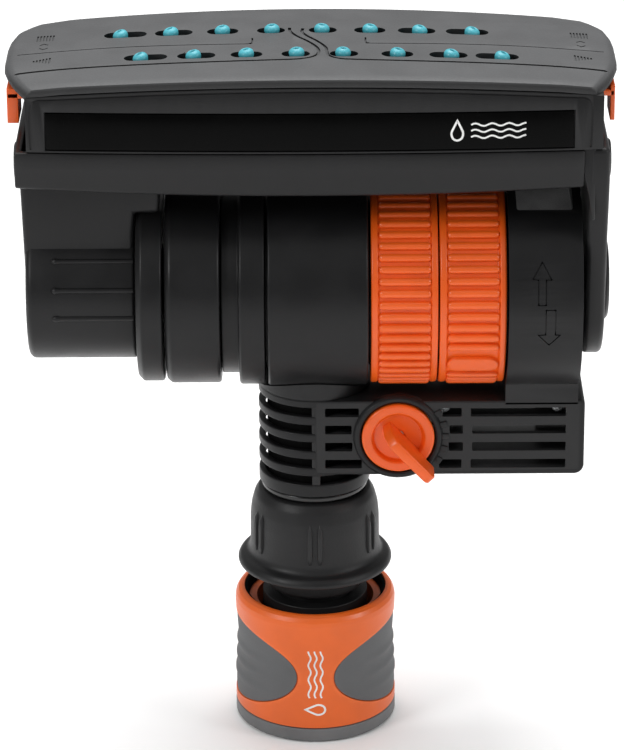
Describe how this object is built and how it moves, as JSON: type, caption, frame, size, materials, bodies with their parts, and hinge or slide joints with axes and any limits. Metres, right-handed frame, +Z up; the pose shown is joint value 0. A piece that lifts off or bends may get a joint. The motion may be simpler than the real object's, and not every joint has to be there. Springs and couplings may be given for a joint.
{
  "type": "oscillating sprinkler",
  "caption": "Garden sprinkler: a swinging head with rows of leaning nozzles on a horizontal drum, with range rings, a flow knob, a ribbed inlet column and a hose quick coupling.",
  "frame": {"origin": "on the inlet axis, at the bottom of the coupling's sleeve, where the hose comes in", "axes": "+Z up along the inlet, +X along the swing axis towards the gear housing, -Y towards the front with the knob"},
  "size_m": [0.1442, 0.0536, 0.1784],
  "materials": {
    "black_plastic": "satin black moulded plastic with a fine grain",
    "adapter_black": "matt black moulded plastic",
    "cover_grey": "dark grey grained plastic",
    "orange_plastic": "orange moulded plastic, half gloss",
    "grey_plastic": "mid grey plastic",
    "grey_soft": "soft grey grip material",
    "teal_rubber": "teal elastomer",
    "gloss_black": "glossy black",
    "black_rubber": "black rubber",
    "cream_plastic": "unpainted acetal",
    "steel": "bright steel"
  },
  "bodies": {
    "coupling": {"coupling_barrel": "grey_plastic", "locking_claws": "cream_plastic", "hose_nut": "grey_plastic", "sleeve_spring": "steel"},
    "release_sleeve": {"sleeve_shell": "orange_plastic", "sleeve_grip_left": "grey_soft", "sleeve_grip_right": "grey_soft", "sleeve_end_ring": "grey_plastic"},
    "base": {"inlet_adapter": "adapter_black", "nipple_o_ring": "black_rubber", "filter_screen": "cream_plastic", "column_seal": "gloss_black", "water_tube": "gloss_black", "base_housing": "black_plastic", "back_cover": "black_plastic", "cover_screw_1": "steel", "cover_screw_2": "steel", "drum_body": "black_plastic", "bearing_flange": "black_plastic", "swivel_drum": "black_plastic", "axle_tube": "grey_plastic", "reversing_spring": "steel"},
    "flow_control": {"flow_knob": "orange_plastic", "valve_plug": "cream_plastic"},
    "left_ring": {"range_ring_left": "orange_plastic"},
    "right_ring": {"range_ring_right": "orange_plastic"},
    "turbine": {"turbine_wheel": "cream_plastic"},
    "first_gear": {"reduction_gear_1": "cream_plastic"},
    "second_gear": {"reduction_gear_2": "cream_plastic"},
    "pinion": {"drive_pinion": "cream_plastic"},
    "lever": {"reversing_lever": "orange_plastic"},
    "head": {"lower_shell": "black_plastic", "upper_shell": "black_plastic", "name_plate": "gloss_black", "top_cover": "cover_grey", "nozzle_channel": "black_plastic", "arm_collar": "black_plastic", "axle_seal": "black_rubber", "output_gear": "cream_plastic", "pivot_cap": "black_plastic", "end_cap_left": "black_plastic", "end_cap_right": "black_plastic"},
    "left_slider": {"width_slider_left": "orange_plastic"},
    "right_slider": {"width_slider_right": "orange_plastic"},
    "nozzle_front_1_tip": {"nozzle_front_1": "teal_rubber"},
    "nozzle_front_2_tip": {"nozzle_front_2": "teal_rubber"},
    "nozzle_front_3_tip": {"nozzle_front_3": "teal_rubber"},
    "nozzle_front_4_tip": {"nozzle_front_4": "teal_rubber"},
    "nozzle_front_5_tip": {"nozzle_front_5": "teal_rubber"},
    "nozzle_front_6_tip": {"nozzle_front_6": "teal_rubber"},
    "nozzle_front_7_tip": {"nozzle_front_7": "teal_rubber"},
    "nozzle_front_8_tip": {"nozzle_front_8": "teal_rubber"},
    "nozzle_back_1_tip": {"nozzle_back_1": "teal_rubber"},
    "nozzle_back_2_tip": {"nozzle_back_2": "teal_rubber"},
    "nozzle_back_3_tip": {"nozzle_back_3": "teal_rubber"},
    "nozzle_back_4_tip": {"nozzle_back_4": "teal_rubber"},
    "nozzle_back_5_tip": {"nozzle_back_5": "teal_rubber"},
    "nozzle_back_6_tip": {"nozzle_back_6": "teal_rubber"},
    "nozzle_back_7_tip": {"nozzle_back_7": "teal_rubber"},
    "nozzle_back_8_tip": {"nozzle_back_8": "teal_rubber"}
  },
  "joints": [
    {"name": "sleeve_release", "type": "slide", "parent": "coupling", "child": "release_sleeve", "axis": [0, 0, -1], "range_m": [0, 0.005], "stiffness_N_per_m": 800, "springref_m": -0.004, "deforming": ["sleeve_spring"]},
    {"name": "coupling_swivel", "type": "hinge", "parent": "coupling", "child": "base", "pos_m": [0, 0, 0], "axis": [0, 0, 1], "continuous": true},
    {"name": "flow_knob_turn", "type": "hinge", "parent": "base", "child": "flow_control", "pos_m": [0.0203, 0, 0.0802], "axis": [0, -1, 0], "range_deg": [0, 90]},
    {"name": "left_ring_turn", "type": "hinge", "parent": "base", "child": "left_ring", "pos_m": [0, 0, 0.1159], "axis": [1, 0, 0], "range_deg": [-60, 60]},
    {"name": "right_ring_turn", "type": "hinge", "parent": "base", "child": "right_ring", "pos_m": [0, 0, 0.1159], "axis": [1, 0, 0], "range_deg": [-60, 60]},
    {"name": "turbine_spin", "type": "hinge", "parent": "base", "child": "turbine", "pos_m": [0, 0, 0.1159], "axis": [1, 0, 0], "continuous": true},
    {"name": "first_gear_spin", "type": "hinge", "parent": "base", "child": "first_gear", "pos_m": [0, 0, 0.1255], "axis": [1, 0, 0], "continuous": true},
    {"name": "second_gear_spin", "type": "hinge", "parent": "base", "child": "second_gear", "pos_m": [0, 0, 0.1159], "axis": [1, 0, 0], "continuous": true},
    {"name": "head_swing", "type": "hinge", "parent": "base", "child": "head", "pos_m": [0, 0, 0.1159], "axis": [1, 0, 0], "range_deg": [-50, 50]},
    {"name": "pinion_turn", "type": "hinge", "parent": "base", "child": "pinion", "pos_m": [0, 0.012, 0.1159], "axis": [1, 0, 0], "range_deg": [-101, 101]},
    {"name": "lever_toggle", "type": "hinge", "parent": "base", "child": "lever", "pos_m": [0, 0, 0.1159], "axis": [1, 0, 0], "range_deg": [0, 16]},
    {"name": "left_slider_move", "type": "slide", "parent": "head", "child": "left_slider", "axis": [0, 1, 0], "range_m": [0, 0.008]},
    {"name": "right_slider_move", "type": "slide", "parent": "head", "child": "right_slider", "axis": [0, 1, 0], "range_m": [0, 0.008]},
    {"name": "nozzle_front_1_lean", "type": "hinge", "parent": "head", "child": "nozzle_front_1_tip", "pos_m": [-0.03828, -0.0105, 0.1716], "axis": [0, 1, 0], "range_deg": [0, 36.55]},
    {"name": "nozzle_front_2_lean", "type": "hinge", "parent": "head", "child": "nozzle_front_2_tip", "pos_m": [-0.02634, -0.0105, 0.1716], "axis": [0, 1, 0], "range_deg": [0, 26.36]},
    {"name": "nozzle_front_3_lean", "type": "hinge", "parent": "head", "child": "nozzle_front_3_tip", "pos_m": [-0.01447, -0.0105, 0.1716], "axis": [0, 1, 0], "range_deg": [0, 13.63]},
    {"name": "nozzle_front_4_lean", "type": "hinge", "parent": "head", "child": "nozzle_front_4_tip", "pos_m": [-0.00321, -0.0105, 0.1716], "axis": [0, 1, 0], "range_deg": [0, 6.84]},
    {"name": "nozzle_front_5_lean", "type": "hinge", "parent": "head", "child": "nozzle_front_5_tip", "pos_m": [0.00671, -0.0105, 0.1716], "axis": [0, -1, 0], "range_deg": [0, 6.84]},
    {"name": "nozzle_front_6_lean", "type": "hinge", "parent": "head", "child": "nozzle_front_6_tip", "pos_m": [0.01897, -0.0105, 0.1716], "axis": [0, -1, 0], "range_deg": [0, 13.63]},
    {"name": "nozzle_front_7_lean", "type": "hinge", "parent": "head", "child": "nozzle_front_7_tip", "pos_m": [0.03104, -0.0105, 0.1716], "axis": [0, -1, 0], "range_deg": [0, 26.36]},
    {"name": "nozzle_front_8_lean", "type": "hinge", "parent": "head", "child": "nozzle_front_8_tip", "pos_m": [0.04248, -0.0105, 0.1716], "axis": [0, -1, 0], "range_deg": [0, 36.55]},
    {"name": "nozzle_back_1_lean", "type": "hinge", "parent": "head", "child": "nozzle_back_1_tip", "pos_m": [-0.04368, 0.0071, 0.1716], "axis": [0, 1, 0], "range_deg": [0, 36.55]},
    {"name": "nozzle_back_2_lean", "type": "hinge", "parent": "head", "child": "nozzle_back_2_tip", "pos_m": [-0.03214, 0.0071, 0.1716], "axis": [0, 1, 0], "range_deg": [0, 26.36]},
    {"name": "nozzle_back_3_lean", "type": "hinge", "parent": "head", "child": "nozzle_back_3_tip", "pos_m": [-0.02037, 0.0071, 0.1716], "axis": [0, 1, 0], "range_deg": [0, 13.63]},
    {"name": "nozzle_back_4_lean", "type": "hinge", "parent": "head", "child": "nozzle_back_4_tip", "pos_m": [-0.00911, 0.0071, 0.1716], "axis": [0, 1, 0], "range_deg": [0, 6.84]},
    {"name": "nozzle_back_5_lean", "type": "hinge", "parent": "head", "child": "nozzle_back_5_tip", "pos_m": [0.00181, 0.0071, 0.1716], "axis": [0, -1, 0], "range_deg": [0, 6.84]},
    {"name": "nozzle_back_6_lean", "type": "hinge", "parent": "head", "child": "nozzle_back_6_tip", "pos_m": [0.01277, 0.0071, 0.1716], "axis": [0, -1, 0], "range_deg": [0, 13.63]},
    {"name": "nozzle_back_7_lean", "type": "hinge", "parent": "head", "child": "nozzle_back_7_tip", "pos_m": [0.02404, 0.0071, 0.1716], "axis": [0, -1, 0], "range_deg": [0, 26.36]},
    {"name": "nozzle_back_8_lean", "type": "hinge", "parent": "head", "child": "nozzle_back_8_tip", "pos_m": [0.03608, 0.0071, 0.1716], "axis": [0, -1, 0], "range_deg": [0, 36.55]}
  ],
  "couplings": [
    {"joint": "first_gear_spin", "follows": "turbine_spin", "ratio": -0.5},
    {"joint": "second_gear_spin", "follows": "turbine_spin", "ratio": 0.25},
    {"joint": "pinion_turn", "follows": "head_swing", "ratio": -2},
    {"joint": "nozzle_front_1_lean", "follows": "left_slider_move", "rad_per_m": 79.63},
    {"joint": "nozzle_front_2_lean", "follows": "left_slider_move", "rad_per_m": 57.407},
    {"joint": "nozzle_front_3_lean", "follows": "left_slider_move", "rad_per_m": 29.63},
    {"joint": "nozzle_front_4_lean", "follows": "left_slider_move", "rad_per_m": 14.815},
    {"joint": "nozzle_front_5_lean", "follows": "right_slider_move", "rad_per_m": 14.815},
    {"joint": "nozzle_front_6_lean", "follows": "right_slider_move", "rad_per_m": 29.63},
    {"joint": "nozzle_front_7_lean", "follows": "right_slider_move", "rad_per_m": 57.407},
    {"joint": "nozzle_front_8_lean", "follows": "right_slider_move", "rad_per_m": 79.63},
    {"joint": "nozzle_back_1_lean", "follows": "left_slider_move", "rad_per_m": 79.63},
    {"joint": "nozzle_back_2_lean", "follows": "left_slider_move", "rad_per_m": 57.407},
    {"joint": "nozzle_back_3_lean", "follows": "left_slider_move", "rad_per_m": 29.63},
    {"joint": "nozzle_back_4_lean", "follows": "left_slider_move", "rad_per_m": 14.815},
    {"joint": "nozzle_back_5_lean", "follows": "right_slider_move", "rad_per_m": 14.815},
    {"joint": "nozzle_back_6_lean", "follows": "right_slider_move", "rad_per_m": 29.63},
    {"joint": "nozzle_back_7_lean", "follows": "right_slider_move", "rad_per_m": 57.407},
    {"joint": "nozzle_back_8_lean", "follows": "right_slider_move", "rad_per_m": 79.63}
  ]
}
